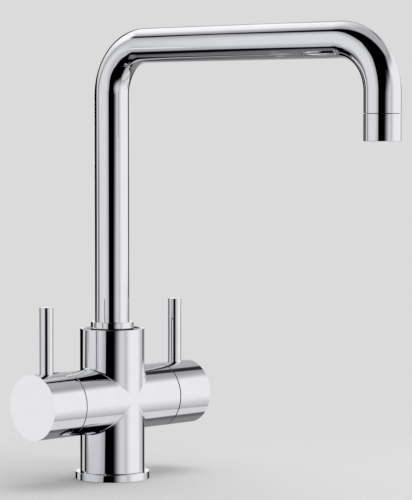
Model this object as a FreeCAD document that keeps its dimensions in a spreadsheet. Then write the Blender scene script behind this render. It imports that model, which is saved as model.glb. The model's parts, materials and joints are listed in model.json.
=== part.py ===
import FreeCAD, Part
import math
import os
import re
import Sketcher

# A deck-mounted kitchen tap for hot, cold and filtered water.
#
# Frame: millimetres, +Z up, origin on the trunk's axis at the deck surface.
# The spout reaches towards -Y. The filtered water handle is at -X and the
# hot and cold handle is at +X, with both levers upright, which is closed.
#
# Pieces on a handle's axis are drawn along +X from the trunk's axis, and the
# filtered side is the same drawing turned half a turn about Z.

DIMENSIONS = {
    # Trunk, cross arms and handle caps share one outside radius.
    "BodyRad": 24.0,
    "BodyTop": 112.1,
    "EdgeBreak": 0.5,
    "RunClear": 0.08,
    # Base ring and the flat seal in its underside.
    "RingRad": 27.75,
    "RingTop": 5.4,
    "TapHoleRad": 17.5,
    "SealInner": 20.5,
    "SealOuter": 25.0,
    "SealThick": 2.0,
    # Inlets for the flexible tails, and the blind hole for the fixing stud.
    "InletThreadRad": 4.5,
    "InletThreadDeep": 10.0,
    "InletWayRad": 3.0,
    "FilterInletX": 9.5,
    "FilterInletY": 3.2,
    "StudX": 5.5,
    "StudY": 9.3,
    "StudRad": 3.4,
    "StudDeep": 14.0,
    # Cross arms.
    "ArmHeight": 59.0,
    "ArmEnd": 48.4,
    "ValveSeat": 17.0,
    "ArmMouth": 36.5,
    "ArmMouthRad": 19.0,
    "GlideThick": 0.4,
    "GlideInner": 19.5,
    "GlideOuter": 23.5,
    # Socket for the turning foot of the spout.
    "SocketRad": 14.6,
    "SocketFloor": 74.0,
    "BossRad": 9.5,
    "BossTop": 79.5,
    "NoseRad": 7.0,
    "NoseFloor": 66.0,
    "NoseBottom": 71.5,
    "NoseGroove": 74.0,
    "NoseGrooveDeep": 1.6,
    "NoseGrooveWide": 1.8,
    "FootBottom": 80.0,
    "FootTop": 102.0,
    "FootGrooveLow": 82.5,
    "FootGrooveHigh": 87.5,
    "FootGrooveDeep": 1.9,
    "FootGrooveWide": 2.1,
    "FootWays": 4.0,
    "FootWayRing": 10.0,
    "FootWayRad": 2.0,
    "NeckBottom": 103.5,
    "CollarRad": 15.95,
    "CollarTop": 117.0,
    # Spout tube, one bent tube with a smaller one for filtered water inside.
    "TubeRad": 12.75,
    "TubeWall": 1.5,
    "TubeBottom": 93.0,
    "TubeHeight": 321.3,
    "Reach": 260.0,
    "BendRad": 36.0,
    "FilterTubeRad": 4.0,
    "FilterTubeWall": 1.0,
    "FilterTubeEnd": 264.0,
    # Outlet.
    "NozzleSeam": 271.2,
    "SeamGap": 0.3,
    "NozzleEnd": 252.5,
    "InsertTop": 281.0,
    "InsertBore": 8.5,
    "LipRad": 9.6,
    "LipTop": 254.0,
    "AeratorRad": 10.6,
    "ScreenTop": 254.6,
    "AeratorTop": 260.0,
    "WasherTop": 262.0,
    "WasherBore": 7.5,
    "TipRad": 3.9,
    "TipBore": 2.5,
    "TipEnd": 253.0,
    "TipTop": 268.0,
    "TipSocketRad": 5.2,
    "AeratorWays": 12.0,
    "AeratorWayRing": 7.2,
    "AeratorWayRad": 1.3,
    # Three rings of small holes in the screen, each with more holes than the last.
    "ScreenRings": 3.0,
    "ScreenFirstRing": 5.3,
    "ScreenRingStep": 1.5,
    "ScreenFirstCount": 16.0,
    "ScreenMoreCount": 6.0,
    "ScreenWayRad": 0.45,
    # Handles.
    "CapStart": 49.0,
    "CapEnd": 80.5,
    "CapWall": 3.5,
    "CapFace": 4.0,
    "HubStart": 56.0,
    "HubRad": 9.0,
    "SpindleRad": 5.0,
    "SpindleTip": 72.0,
    "LeverX": 66.4,
    "LeverRad": 5.0,
    "LeverTop": 72.0,
    "LeverSeat": 18.0,
    "LeverStubRad": 3.0,
    "LeverStubEnd": 10.0,
    "LeverBossRad": 7.0,
    "GrubRad": 2.5,
    "GrubLong": 7.0,
    "GrubKey": 1.45,
    "GrubKeyDeep": 3.0,
    "GrubWayRad": 3.0,
    "SpindleGroove": 41.0,
    "SpindleGrooveWide": 1.7,
    "SpindleGrooveDeep": 1.4,
    # Quarter-turn valve for filtered water.
    "FilterSealThick": 1.0,
    "FilterSealInner": 5.2,
    "FilterDiscRad": 7.3,
    "FilterDiscThick": 2.5,
    "FilterDiscWayRing": 4.2,
    "FilterDiscWayRad": 1.8,
    "FilterSleeveRad": 8.6,
    "FilterThreadRad": 10.45,
    "FilterThreadStart": 27.0,
    "FilterFootThick": 2.8,
    "FilterHexThick": 3.0,
    "FilterHexRad": 14.0,
    "FilterNeckRad": 8.0,
    "FilterNeckEnd": 46.0,
    "WindowWide": 4.0,
    "WindowHigh": 6.0,
    "FilterWayRad": 2.0,
    "FilterWayLift": 9.6,
    # Mixing valve for hot and cold water.
    "MixerRad": 17.5,
    "MixerChamberRad": 17.6,
    "PortRing": 9.0,
    "PortRad": 2.5,
    "MixedX": 12.0,
    "MixedRad": 2.2,
    "PortSealRad": 4.3,
    "PortSealThick": 1.3,
    "PortSealStand": 0.3,
    "MixerBaseTop": 21.0,
    "MixerDiscRad": 13.5,
    "MixerDiscThick": 3.4,
    "MixerFootRad": 12.5,
    "MixerFootThick": 2.6,
    "RecessDeep": 1.5,
    "MixerNeckRad": 12.0,
    "MixerNeckEnd": 45.0,
    "NutEnd": 44.0,
    "NutSlotWide": 4.0,
    "NutSlotDeep": 2.0,
    "DiscGap": 0.05,
    # Half thickness of the rubber rings of round section.
    "NoseRingRad": 0.75,
    "FootRingRad": 0.9,
    "SpindleRingRad": 0.65,
}

QUARTER_TURN = 90.0
UP = FreeCAD.Vector(0, 0, 1)
HEADINGS = {
    "+X": FreeCAD.Vector(1, 0, 0),
    "-X": FreeCAD.Vector(-1, 0, 0),
    "+Z": FreeCAD.Vector(0, 0, 1),
    "-Z": FreeCAD.Vector(0, 0, -1),
}
ORIGIN = ("0", "0", "0")
ARM_AXIS = ("0", "0", "ArmHeight")
OUTLET_AXIS = ("0", "-Reach", "0")

doc = FreeCAD.newDocument("FilteredWaterTap")


# ---------------------------------------------------------------- sheet

def make_sheet():
    """The driving dimensions, one named cell each."""
    cells = doc.addObject("Spreadsheet::Sheet", "Dims")
    for row, (name, value) in enumerate(DIMENSIONS.items(), start=1):
        cells.set(f"A{row}", name)
        cells.set(f"B{row}", str(value))
        cells.setAlias(f"B{row}", name)
    doc.recompute()
    return cells


sheet = make_sheet()
ALIAS = re.compile(r"\b(" + "|".join(DIMENSIONS) + r")\b")


def bound(text):
    """A size written with the sheet's names, such as 'BodyRad - EdgeBreak'."""
    return ALIAS.sub(r"Dims.\1", text)


def size(text):
    """The present value of such a size."""
    return float(sheet.evalExpression(bound(text)))


def bind(obj, **sizes):
    """Tie an object's properties to the sheet."""
    for name, text in sizes.items():
        obj.setExpression(name, bound(text))
    return obj


def place(obj, at, rotation=None):
    """Put an object at a point of the frame, whose coordinates are sizes."""
    obj.Placement = FreeCAD.Placement(FreeCAD.Vector(), rotation or FreeCAD.Rotation())
    for axis, text in zip("xyz", at):
        obj.setExpression(f"Placement.Base.{axis}", bound(text))
    return obj


# ---------------------------------------------------------------- shapes

def origin_plane(body, role):
    return [plane for plane in body.Origin.OriginFeatures if plane.Role == role][0]


def outline_sketch(body, name, corners, plane):
    """A closed outline whose corners are held at sizes from the sheet."""
    sketch = body.newObject("Sketcher::SketchObject", name)
    sketch.AttachmentSupport = [(origin_plane(body, plane), "")]
    sketch.MapMode = "FlatFace"
    points = [FreeCAD.Vector(size(across), size(along), 0) for across, along in corners]
    for start, end in zip(points, points[1:] + points[:1]):
        sketch.addGeometry(Part.LineSegment(start, end), False)
    for index, (across, along) in enumerate(corners):
        previous = (index - 1) % len(corners)
        sketch.addConstraint(Sketcher.Constraint("Coincident", previous, 2, index, 1))
        hold_corner(sketch, index, "DistanceX", -2, across)
        hold_corner(sketch, index, "DistanceY", -1, along)
    return sketch


def hold_corner(sketch, index, kind, axis, text):
    """Hold one corner on an axis, or at a size away from it."""
    if text == "0":
        sketch.addConstraint(Sketcher.Constraint("PointOnObject", index, 1, axis))
        return
    number = sketch.addConstraint(Sketcher.Constraint(kind, -1, 1, index, 1, size(text)))
    sketch.setExpression(f"Constraints[{number}]", bound(text))


def turned(name, axis, corners, at=ORIGIN, rotation=None):
    """A turned piece.

    About Z the corners are (radius, height), and about X they are
    (distance along the axis, radius).
    """
    body = doc.addObject("PartDesign::Body", name)
    sketch = outline_sketch(body, name + "_outline", corners, "XZ_Plane")
    turn = body.newObject("PartDesign::Revolution", name + "_turn")
    turn.Profile = sketch
    turn.ReferenceAxis = (sketch, ["V_Axis" if axis == "Z" else "H_Axis"])
    turn.Angle = 360
    return place(body, at, rotation)


def rod(name, radius, length, at, heading="+Z"):
    """A plain cylinder that starts at a point, as a piece or as a drill."""
    cylinder = doc.addObject("Part::Cylinder", name)
    bind(cylinder, Radius=radius, Height=length)
    return place(cylinder, at, FreeCAD.Rotation(UP, HEADINGS[heading]))


def ring_of_rods(name, count, ring, radius, length, at, heading="+Z", first=0.0):
    """Equal cylinders spaced evenly round a circle that a heading is square to."""
    rods = []
    across = FreeCAD.Rotation(UP, HEADINGS[heading])
    for index in range(count):
        angle = math.radians(first + index * 360.0 / count)
        side = across.multVec(FreeCAD.Vector(math.cos(angle), math.sin(angle), 0))
        shifts = (side.x, side.y, side.z)
        spot = tuple(f"{text} + {ring} * {shift:.6f}" for text, shift in zip(at, shifts))
        rods.append(rod(f"{name}_{index}", radius, length, spot, heading))
    return rods


def block(name, length, width, height, at):
    """A box centred on a point in X and Y that rises from it."""
    box = doc.addObject("Part::Box", name)
    bind(box, Length=length, Width=width, Height=height)
    x, y, z = at
    return place(box, (f"{x} - ({length}) / 2", f"{y} - ({width}) / 2", z))


def hexagon(name, corner_rad, length, at, heading):
    """A hexagonal bar or key, measured to its corners."""
    prism = doc.addObject("Part::Prism", name)
    prism.Polygon = 6
    bind(prism, Circumradius=corner_rad, Height=length)
    return place(prism, at, FreeCAD.Rotation(UP, HEADINGS[heading]))


def o_ring(name, ring_rad, section_rad, at, heading="+Z"):
    """A rubber ring of round section."""
    torus = doc.addObject("Part::Torus", name)
    bind(torus, Radius1=ring_rad, Radius2=section_rad)
    return place(torus, at, FreeCAD.Rotation(UP, HEADINGS[heading]))


def joined(name, pieces):
    union = doc.addObject("Part::MultiFuse", name)
    union.Shapes = pieces
    return union


def bored(name, blank, tools):
    """A blank less the drills and cutters that work on it."""
    cut = doc.addObject("Part::Cut", name)
    cut.Base = blank
    cut.Tool = joined(name + "_cutters", tools) if len(tools) > 1 else tools[0]
    return cut


# ---------------------------------------------------------------- pieces
# Each finished piece is registered under its node's name.

pieces = {}


def piece(node, obj):
    obj.Label = node
    pieces[node] = obj
    return obj


def handed(side):
    """The half turn that takes the +X drawing of a handle to its side."""
    return FreeCAD.Rotation(UP, 0 if side > 0 else 180)


def heading_of(side):
    return "+X" if side > 0 else "-X"


# Base

def base_ring():
    piece("base_ring", turned("base_ring", "Z", [
        ("TapHoleRad", "0"),
        ("SealInner", "0"),
        ("SealInner", "SealThick"),
        ("SealOuter", "SealThick"),
        ("SealOuter", "0"),
        ("RingRad - EdgeBreak", "0"),
        ("RingRad", "EdgeBreak"),
        ("RingRad", "RingTop - EdgeBreak"),
        ("RingRad - EdgeBreak", "RingTop"),
        ("TapHoleRad", "RingTop"),
    ]))


def base_seal():
    piece("base_seal", turned("base_seal", "Z", [
        ("SealInner", "0"),
        ("SealOuter", "0"),
        ("SealOuter", "SealThick"),
        ("SealInner", "SealThick"),
    ]))


# Trunk and cross arms, one casting

def trunk():
    return turned("trunk", "Z", [
        ("0", "RingTop"),
        ("BodyRad", "RingTop"),
        ("BodyRad", "BodyTop - EdgeBreak"),
        ("BodyRad - EdgeBreak", "BodyTop"),
        ("0", "BodyTop"),
    ])


def cross_arm():
    return turned("cross_arm", "X", [
        ("0", "0"),
        ("0", "BodyRad - EdgeBreak"),
        ("EdgeBreak", "BodyRad"),
        ("2 * ArmEnd - EdgeBreak", "BodyRad"),
        ("2 * ArmEnd", "BodyRad - EdgeBreak"),
        ("2 * ArmEnd", "0"),
    ], at=("-ArmEnd", "0", "ArmHeight"))


def spout_socket():
    """The socket that the spout's foot turns in, round the boss that its nose turns in."""
    return turned("spout_socket", "Z", [
        ("0", "NoseFloor"),
        ("NoseRad + RunClear", "NoseFloor"),
        ("NoseRad + RunClear", "BossTop"),
        ("BossRad", "BossTop"),
        ("BossRad", "SocketFloor"),
        ("SocketRad", "SocketFloor"),
        ("SocketRad", "BodyTop"),
        ("0", "BodyTop"),
    ])


def valve_chamber(name, chamber_rad, side):
    """The stepped bore that takes a valve from the end of an arm."""
    return turned(name, "X", [
        ("ValveSeat", "0"),
        ("ValveSeat", chamber_rad),
        ("ArmMouth", chamber_rad),
        ("ArmMouth", "ArmMouthRad"),
        ("ArmEnd", "ArmMouthRad"),
        ("ArmEnd", "0"),
    ], ARM_AXIS, handed(side))


def inlet(name, x, y, top):
    """A threaded inlet in the underside and the waterway above it."""
    return [
        rod(name + "_thread", "InletThreadRad", "InletThreadDeep", (x, y, "RingTop")),
        rod(name + "_way", "InletWayRad", f"{top} - RingTop", (x, y, "RingTop")),
    ]


def waterways():
    """Hot and cold run to the mixing valve's seat, and mixed water rises from its middle.

    Filtered water keeps to itself: up to its own valve, and from the valve's
    side into the nose of the spout's foot.
    """
    port_y = "PortRing * cos(30 deg)"
    port_z = "ArmHeight - PortRing / 2"
    ways = inlet("hot_inlet", port_y, port_y, port_z)
    ways += inlet("cold_inlet", port_y, "-" + port_y, port_z)
    ways += inlet("filter_inlet", "-FilterInletX", "FilterInletY", "ArmHeight")
    for name, y in (("hot_port", port_y), ("cold_port", "-" + port_y)):
        start = ("ValveSeat", y, port_z)
        ways.append(rod(name, "PortRad", f"ValveSeat - {port_y}", start, "-X"))
    ways += [
        rod("mixed_port", "PortRad", "ValveSeat - MixedX", ("ValveSeat", "0", "ArmHeight"), "-X"),
        rod("mixed_riser", "MixedRad", "SocketFloor - ArmHeight", ("MixedX", "0", "ArmHeight")),
        rod("filter_port", "FilterWayRad", "ValveSeat - FilterInletX",
            ("-ValveSeat", "FilterInletY", "ArmHeight"), "+X"),
        rod("filter_return", "FilterWayRad", "ValveSeat",
            ("-ValveSeat", "0", "ArmHeight + FilterWayLift"), "+X"),
        rod("stud_hole", "StudRad", "StudDeep", ("-StudX", "-StudY", "RingTop")),
    ]
    return ways


def tap_body():
    cutters = [spout_socket()]
    cutters.append(valve_chamber("mixer_chamber", "MixerChamberRad", 1))
    cutters.append(valve_chamber("filter_chamber", "FilterThreadRad", -1))
    blank = joined("body_blank", [trunk(), cross_arm()])
    piece("tap_body", bored("tap_body", blank, cutters + waterways()))


def glide_ring(node, side):
    """The thin dark ring that the handle cap turns beside."""
    piece(node, turned(node, "X", [
        ("ArmEnd", "GlideInner"),
        ("ArmEnd", "GlideOuter"),
        ("ArmEnd + GlideThick", "GlideOuter"),
        ("ArmEnd + GlideThick", "GlideInner"),
    ], ARM_AXIS, handed(side)))


# Spout

def spout_collar():
    """The ring nut that keeps the spout's foot in its socket."""
    piece("spout_collar", turned("spout_collar", "Z", [
        ("TubeRad + RunClear", "NeckBottom"),
        ("SocketRad", "NeckBottom"),
        ("SocketRad", "BodyTop"),
        ("CollarRad", "BodyTop"),
        ("CollarRad", "CollarTop - EdgeBreak"),
        ("CollarRad - EdgeBreak", "CollarTop"),
        ("TubeRad + RunClear", "CollarTop"),
    ]))


def groove(start, width, outer, depth):
    """Four corners of a groove in a turned outside, from its lower edge up."""
    return [
        (outer, start),
        (f"{outer} - {depth}", start),
        (f"{outer} - {depth}", f"{start} + {width}"),
        (outer, f"{start} + {width}"),
    ]


def spout_foot():
    """The turning foot, with four ways for mixed water round the filtered water tube."""
    outer = "SocketRad - RunClear"
    corners = [("FilterTubeRad", "NoseBottom"), ("NoseRad", "NoseBottom")]
    corners += groove("NoseGroove", "NoseGrooveWide", "NoseRad", "NoseGrooveDeep")
    corners += [("NoseRad", "FootBottom"), (outer, "FootBottom")]
    corners += groove("FootGrooveLow", "FootGrooveWide", outer, "FootGrooveDeep")
    corners += groove("FootGrooveHigh", "FootGrooveWide", outer, "FootGrooveDeep")
    corners += [
        (outer, "FootTop"),
        ("TubeRad", "FootTop"),
        ("TubeRad", "TubeBottom"),
        ("FilterTubeRad", "TubeBottom"),
    ]
    blank = turned("spout_foot_blank", "Z", corners)
    ways = ring_of_rods("foot_way", int(size("FootWays")), "FootWayRing", "FootWayRad",
                        "TubeBottom - FootBottom", ("0", "0", "FootBottom"), first=QUARTER_TURN / 2)
    piece("spout_foot", bored("spout_foot", blank, ways))


def foot_o_rings():
    for node, start in (("foot_o_ring_lower", "FootGrooveLow"),
                        ("foot_o_ring_upper", "FootGrooveHigh")):
        spot = ("0", "0", f"{start} + FootGrooveWide / 2")
        piece(node, o_ring(node, "SocketRad - RunClear - FootRingRad", "FootRingRad", spot))
    spot = ("0", "0", "NoseGroove + NoseGrooveWide / 2")
    piece("nose_o_ring", o_ring("nose_o_ring", "NoseRad - NoseRingRad", "NoseRingRad", spot))


def washer(node, inner, outer, bottom, top, at=ORIGIN):
    """A flat ring."""
    piece(node, turned(node, "Z", [
        (inner, bottom),
        (outer, bottom),
        (outer, top),
        (inner, top),
    ], at))


def bend_sketch(body, name, bottom, end):
    """The line that the spout's tubes follow: up, along towards -Y and down."""
    sketch = body.newObject("Sketcher::SketchObject", name)
    sketch.AttachmentSupport = [(origin_plane(body, "YZ_Plane"), "")]
    sketch.MapMode = "FlatFace"
    low, stop, top = size(bottom), size(end), size("TubeHeight")
    reach, bend = size("Reach"), size("BendRad")
    point = FreeCAD.Vector
    near, far = point(-bend, top - bend, 0), point(bend - reach, top - bend, 0)
    quarter = math.pi / 2
    for line in (
        Part.LineSegment(point(0, low, 0), point(0, top - bend, 0)),
        Part.ArcOfCircle(Part.Circle(near, UP, bend), 0, quarter),
        Part.LineSegment(point(-bend, top, 0), point(bend - reach, top, 0)),
        Part.ArcOfCircle(Part.Circle(far, UP, bend), quarter, 2 * quarter),
        Part.LineSegment(point(-reach, top - bend, 0), point(-reach, stop, 0)),
    ):
        sketch.addGeometry(line, False)
    riser, first_bend, arm, second_bend, drop = range(5)
    for one, one_end, other, other_end in (
        (riser, 2, first_bend, 1),
        (first_bend, 2, arm, 1),
        (arm, 2, second_bend, 1),
        (second_bend, 2, drop, 1),
    ):
        sketch.addConstraint(Sketcher.Constraint("Tangent", one, one_end, other, other_end))
    sketch.addConstraint(Sketcher.Constraint("Vertical", riser))
    sketch.addConstraint(Sketcher.Constraint("PointOnObject", riser, 1, -2))
    for kind, place_of, text in (
        ("DistanceY", (-1, 1, riser, 1), bottom),
        ("DistanceY", (-1, 1, arm, 1), "TubeHeight"),
        ("DistanceX", (drop, 1, -1, 1), "Reach"),
        ("DistanceY", (-1, 1, drop, 2), end),
        ("Radius", (first_bend,), "BendRad"),
        ("Radius", (second_bend,), "BendRad"),
    ):
        number = sketch.addConstraint(Sketcher.Constraint(kind, *place_of, size(text)))
        sketch.setExpression(f"Constraints[{number}]", bound(text))
    sketch.addConstraint(Sketcher.Constraint("Horizontal", arm))
    sketch.addConstraint(Sketcher.Constraint("Vertical", drop))
    return sketch


def bent_tube(node, radius, wall, bottom, end):
    """A tube of round section along the spout's line."""
    body = doc.addObject("PartDesign::Body", node)
    path = bend_sketch(body, node + "_line", bottom, end)
    section = body.newObject("Sketcher::SketchObject", node + "_section")
    section.AttachmentSupport = [(origin_plane(body, "XY_Plane"), "")]
    section.MapMode = "FlatFace"
    section.setExpression("AttachmentOffset.Base.z", bound(bottom))
    for number, text in enumerate((radius, f"{radius} - {wall}")):
        section.addGeometry(Part.Circle(FreeCAD.Vector(), UP, size(text)), False)
        section.addConstraint(Sketcher.Constraint("Coincident", number, 3, -1, 1))
        held = section.addConstraint(Sketcher.Constraint("Radius", number, size(text)))
        section.setExpression(f"Constraints[{held}]", bound(text))
    pipe = body.newObject("PartDesign::AdditivePipe", node + "_pipe")
    pipe.Profile = section
    pipe.Spine = path
    piece(node, body)


def spout_tubes():
    bent_tube("spout_tube", "TubeRad", "TubeWall", "TubeBottom", "NozzleSeam")
    bent_tube("filter_tube", "FilterTubeRad", "FilterTubeWall", "NoseBottom", "FilterTubeEnd")


# Outlet

def nozzle_insert():
    washer("nozzle_insert", "InsertBore", "TubeRad - TubeWall", "WasherTop", "InsertTop",
           OUTLET_AXIS)


def nozzle_sleeve():
    """The sleeve that screws on to the insert and holds the aerator up against it."""
    top = "NozzleSeam - SeamGap"
    piece("nozzle_sleeve", turned("nozzle_sleeve", "Z", [
        ("LipRad", "NozzleEnd"),
        ("TubeRad - EdgeBreak", "NozzleEnd"),
        ("TubeRad", "NozzleEnd + EdgeBreak"),
        ("TubeRad", top),
        ("TubeRad - TubeWall", top),
        ("TubeRad - TubeWall", "WasherTop"),
        ("AeratorRad", "WasherTop"),
        ("AeratorRad", "LipTop"),
        ("LipRad", "LipTop"),
    ], OUTLET_AXIS))


def aerator_screen():
    """A thin disc perforated with rings of small holes."""
    blank = turned("screen_blank", "Z", [
        ("TipRad", "LipTop"),
        ("AeratorRad", "LipTop"),
        ("AeratorRad", "ScreenTop"),
        ("TipRad", "ScreenTop"),
    ], OUTLET_AXIS)
    holes = []
    for index in range(int(size("ScreenRings"))):
        count = int(size(f"ScreenFirstCount + {index} * ScreenMoreCount"))
        ring = f"(ScreenFirstRing + {index} * ScreenRingStep)"
        holes += ring_of_rods(f"screen_ring_{index}", count, ring, "ScreenWayRad",
                              "ScreenTop - LipTop", ("0", "-Reach", "LipTop"))
    piece("aerator_screen", bored("aerator_screen", blank, holes))


def aerator_housing():
    blank = turned("aerator_blank", "Z", [
        ("TipRad", "ScreenTop"),
        ("AeratorRad", "ScreenTop"),
        ("AeratorRad", "AeratorTop"),
        ("TipRad", "AeratorTop"),
    ], OUTLET_AXIS)
    ways = ring_of_rods("aerator_way", int(size("AeratorWays")), "AeratorWayRing",
                        "AeratorWayRad", "AeratorTop - ScreenTop", ("0", "-Reach", "ScreenTop"))
    piece("aerator_housing", bored("aerator_housing", blank, ways))


def filter_outlet_tip():
    """The small nozzle in the middle, so that filtered water meets no other."""
    piece("filter_outlet_tip", turned("filter_outlet_tip", "Z", [
        ("TipBore", "TipEnd"),
        ("TipRad", "TipEnd"),
        ("TipRad", "AeratorTop"),
        ("TipSocketRad", "AeratorTop"),
        ("TipSocketRad", "TipTop"),
        ("FilterTubeRad", "TipTop"),
        ("FilterTubeRad", "FilterTubeEnd"),
        ("TipBore", "FilterTubeEnd"),
    ], OUTLET_AXIS))


# Handles

def handle_cap(node, side):
    """A hollow cap with a hub for the spindle and a boss for the lever."""
    inner = "BodyRad - CapWall"
    blank = turned(node + "_shell", "X", [
        ("CapStart", inner),
        ("CapStart", "BodyRad - EdgeBreak"),
        ("CapStart + EdgeBreak", "BodyRad"),
        ("CapEnd - EdgeBreak", "BodyRad"),
        ("CapEnd", "BodyRad - EdgeBreak"),
        ("CapEnd", "0"),
        ("SpindleTip", "0"),
        ("SpindleTip", "SpindleRad"),
        ("HubStart", "SpindleRad"),
        ("HubStart", "HubRad"),
        ("CapEnd - CapFace", "HubRad"),
        ("CapEnd - CapFace", inner),
    ], ARM_AXIS, handed(side))
    x = f"{side} * LeverX"
    boss = rod(node + "_boss", "LeverBossRad", f"{inner} + EdgeBreak - (HubRad - EdgeBreak)",
               (x, "0", "ArmHeight + HubRad - EdgeBreak"))
    drills = [
        rod(node + "_lever_hole", "LeverRad", "BodyRad - LeverSeat",
            (x, "0", "ArmHeight + LeverSeat")),
        rod(node + "_stub_hole", "LeverStubRad", "LeverSeat - LeverStubEnd",
            (x, "0", "ArmHeight + LeverStubEnd")),
        rod(node + "_grub_hole", "GrubRad", "HubRad", (x, "0", "ArmHeight"), "-Z"),
        rod(node + "_grub_way", "GrubWayRad", "CapWall + EdgeBreak",
            (x, "0", "ArmHeight - BodyRad + CapWall + EdgeBreak"), "-Z"),
    ]
    piece(node, bored(node, joined(node + "_blank", [blank, boss]), drills))


def lever(node, side):
    """A round lever with a threaded stub."""
    piece(node, turned(node, "Z", [
        ("0", "LeverStubEnd"),
        ("LeverStubRad", "LeverStubEnd"),
        ("LeverStubRad", "LeverSeat"),
        ("LeverRad", "LeverSeat"),
        ("LeverRad", "LeverTop - EdgeBreak"),
        ("LeverRad - EdgeBreak", "LeverTop"),
        ("0", "LeverTop"),
    ], (f"{side} * LeverX", "0", "ArmHeight")))


def grub_screw(node, side):
    """The headless screw in the hub that holds the cap on the spindle."""
    x = f"{side} * LeverX"
    screw = rod(node + "_bar", "GrubRad", "GrubLong", (x, "0", "ArmHeight - SpindleRad"), "-Z")
    key_start = "ArmHeight - SpindleRad - GrubLong + GrubKeyDeep"
    key = hexagon(node + "_key", "GrubKey", "GrubKeyDeep", (x, "0", key_start), "-Z")
    piece(node, bored(node, screw, [key]))


def spindle(node, side, foot_start, foot_thick, foot_rad):
    """A stem with a drive foot at the discs and a groove for its rubber ring."""
    groove_floor = "SpindleRad - SpindleGrooveDeep"
    piece(node, turned(node, "X", [
        (foot_start, "0"),
        (foot_start, foot_rad),
        (f"{foot_start} + {foot_thick}", foot_rad),
        (f"{foot_start} + {foot_thick}", "SpindleRad"),
        ("SpindleGroove", "SpindleRad"),
        ("SpindleGroove", groove_floor),
        ("SpindleGroove + SpindleGrooveWide", groove_floor),
        ("SpindleGroove + SpindleGrooveWide", "SpindleRad"),
        ("SpindleTip", "SpindleRad"),
        ("SpindleTip", "0"),
    ], ARM_AXIS, handed(side)))


def spindle_o_ring(node, side):
    spot = (f"{side} * (SpindleGroove + SpindleGrooveWide / 2)", "0", "ArmHeight")
    piece(node, o_ring(node, "SpindleRad - SpindleRingRad", "SpindleRingRad", spot, "+X"))


def disc(name, side, start, thick, radius):
    """A plain valve disc, still without its ways."""
    return rod(name, radius, thick, (f"{side} * ({start})", "0", "ArmHeight"), heading_of(side))


# Quarter-turn valve for filtered water

FILTER_FIXED = "ValveSeat + FilterSealThick"
FILTER_MOVING = f"{FILTER_FIXED} + FilterDiscThick + DiscGap"
FILTER_FOOT = f"{FILTER_MOVING} + FilterDiscThick"


def filter_seat_seal():
    piece("filter_seat_seal", turned("filter_seat_seal", "X", [
        ("ValveSeat", "FilterSealInner"),
        ("ValveSeat", "FilterDiscRad"),
        ("ValveSeat + FilterSealThick", "FilterDiscRad"),
        ("ValveSeat + FilterSealThick", "FilterSealInner"),
    ], ARM_AXIS, handed(-1)))


def filter_discs():
    """Two ways in each disc, a quarter turn apart while the valve is closed."""
    for node, start, first in (("filter_fixed_disc", FILTER_FIXED, 0.0),
                               ("filter_moving_disc", FILTER_MOVING, QUARTER_TURN)):
        blank = disc(node + "_blank", -1, start, "FilterDiscThick", "FilterDiscRad")
        ways = ring_of_rods(node + "_way", 2, "FilterDiscWayRing", "FilterDiscWayRad",
                            "FilterDiscThick", (f"-({start})", "0", "ArmHeight"), "-X", first)
        piece(node, bored(node, blank, ways))


def filter_valve_housing():
    """The threaded brass housing, with side windows that let the water out."""
    sleeve_bore = "FilterDiscRad + RunClear"
    blank = turned("filter_housing_blank", "X", [
        (FILTER_FIXED, sleeve_bore),
        (FILTER_FIXED, "FilterSleeveRad"),
        ("FilterThreadStart", "FilterSleeveRad"),
        ("FilterThreadStart", "FilterThreadRad"),
        ("ArmMouth + FilterHexThick", "FilterThreadRad"),
        ("ArmMouth + FilterHexThick", "FilterNeckRad"),
        ("FilterNeckEnd", "FilterNeckRad"),
        ("FilterNeckEnd", "SpindleRad + RunClear"),
        (f"{FILTER_FOOT} + FilterFootThick + RunClear", "SpindleRad + RunClear"),
        (f"{FILTER_FOOT} + FilterFootThick + RunClear", sleeve_bore),
    ], ARM_AXIS, handed(-1))
    nut = hexagon("filter_housing_hex", "FilterHexRad", "FilterHexThick",
                  ("-ArmMouth", "0", "ArmHeight"), "-X")
    bore = rod("filter_housing_bore", "SpindleRad + RunClear", "FilterHexThick",
               ("-ArmMouth", "0", "ArmHeight"), "-X")
    window_x = f"-({FILTER_MOVING} + FilterDiscThick / 2)"
    window = block("filter_housing_window", "WindowWide", "3 * FilterDiscRad", "WindowHigh",
                   (window_x, "0", "ArmHeight - WindowHigh / 2"))
    whole = joined("filter_housing_whole", [blank, nut])
    piece("filter_valve_housing", bored("filter_valve_housing", whole, [bore, window]))


# Mixing valve for hot and cold water

MIXER_FIXED = "MixerBaseTop"
MIXER_MOVING = "MixerBaseTop + MixerDiscThick + DiscGap"
MIXER_FOOT = f"{MIXER_MOVING} + MixerDiscThick"
INLET_PORTS = ("-30 deg", "210 deg")


def port_rods(name, radius, start, length):
    """One rod on each port of the mixing valve: mixed in the middle, hot and cold below."""
    x = start
    rods = [rod(name + "_mixed", radius, length, (x, "0", "ArmHeight"), "+X")]
    for label, angle in zip(("hot", "cold"), INLET_PORTS):
        spot = (x, f"PortRing * cos({angle})", f"ArmHeight + PortRing * sin({angle})")
        rods.append(rod(f"{name}_{label}", radius, length, spot, "+X"))
    return rods


def mixer_port_seals():
    """Three rubber rings between the seat and the valve's base."""
    outers = joined("port_seal_outers",
                    port_rods("port_seal", "PortSealRad", "ValveSeat", "PortSealThick"))
    bores = port_rods("port_seal_bore", "PortRad", "ValveSeat", "PortSealThick")
    piece("mixer_port_seals", bored("mixer_port_seals", outers, bores))


def mixer_valve_base():
    start = "ValveSeat + PortSealStand"
    blank = disc("mixer_base_blank", 1, start, f"MixerBaseTop - ({start})", "MixerRad")
    pockets = port_rods("base_pocket", "PortSealRad", "ValveSeat", "PortSealThick")
    ports = port_rods("base_port", "PortRad", "ValveSeat", "MixerBaseTop - ValveSeat")
    piece("mixer_valve_base", bored("mixer_valve_base", blank, pockets + ports))


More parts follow.
